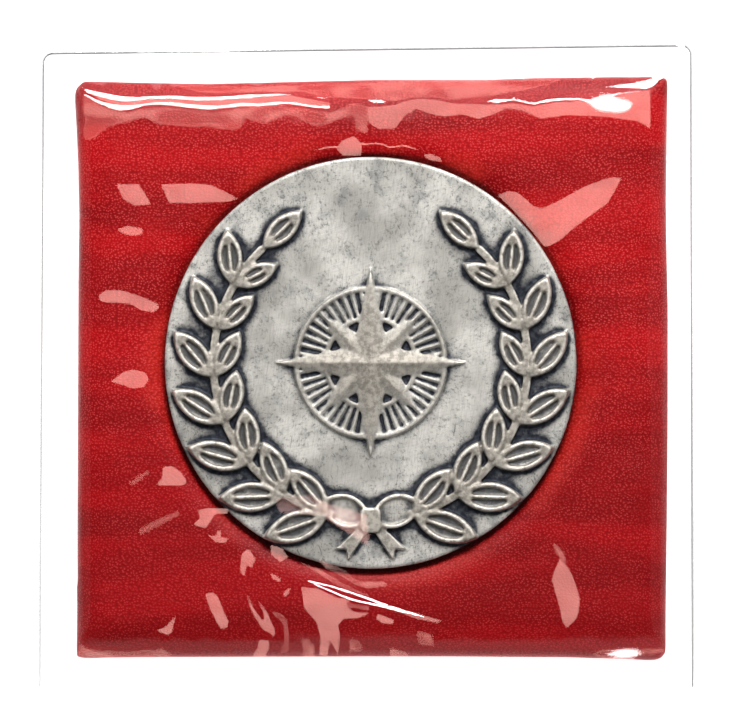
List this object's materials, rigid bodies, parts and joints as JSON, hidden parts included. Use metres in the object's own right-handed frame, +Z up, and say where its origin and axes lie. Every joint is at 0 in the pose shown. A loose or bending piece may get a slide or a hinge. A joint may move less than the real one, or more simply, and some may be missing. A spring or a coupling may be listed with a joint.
{
  "type": "commemorative medal on a padded card in a clear sleeve",
  "caption": "Round silvered medal in raised relief, set in the pocket of a red padded card, inside a clear sleeve open along its lower edge.",
  "frame": {"origin": "on the ground under the middle of the sleeve", "axes": "+X to the medal's right, +Y to its top, +Z up out of its face"},
  "size_m": [0.112, 0.109, 0.0088],
  "materials": {
    "medal": "silvered and brushed, darkened in the hollows",
    "pad": "grained red leatherette",
    "sleeve": "clear soft film"
  },
  "bodies": {
    "root": {"medal": "medal", "pad": "pad", "sleeve": "sleeve"}
  },
  "joints": []
}
